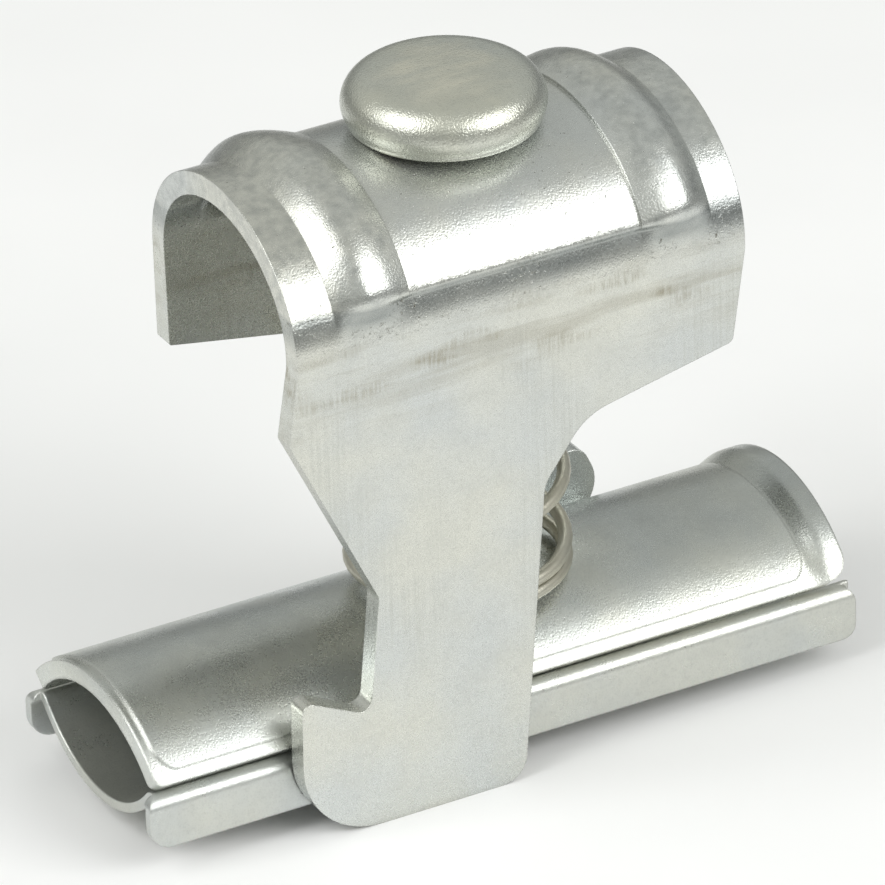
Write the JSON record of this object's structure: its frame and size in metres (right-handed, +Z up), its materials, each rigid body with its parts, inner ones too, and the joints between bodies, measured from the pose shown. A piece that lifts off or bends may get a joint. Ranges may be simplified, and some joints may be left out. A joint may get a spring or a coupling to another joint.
{
  "type": "shield connection clamp",
  "caption": "Spring-loaded sheet-metal clamp: a hooked arched bracket, a button-headed pin and a coil spring press a channelled plate onto cable shields on a slotted rail",
  "frame": {"origin": "middle of the plates' length and width, at the height of the feet", "axes": "+X along the cables, away from the front hook's tip; +Y towards the back wall; +Z up, along the pin towards its head"},
  "size_m": [0.0478, 0.0196, 0.0426],
  "materials": {
    "bracket_steel": "satin plated sheet",
    "pin_steel": "tumbled, satin",
    "spring_steel": "drawn wire, satin",
    "plate_steel": "bright plated sheet"
  },
  "bodies": {
    "bracket": {"clamp_bracket": "bracket_steel", "compression_spring": "spring_steel"},
    "plunger": {"plunger_pin": "pin_steel", "pressure_plate": "plate_steel", "contact_plate": "plate_steel"}
  },
  "joints": [
    {"name": "plunger_slide", "type": "slide", "parent": "bracket", "child": "plunger", "axis": [0, 0, 1], "range_m": [0, 0.014], "stiffness_N_per_m": 490, "springref_m": -0.01, "deforming": ["compression_spring"]}
  ]
}
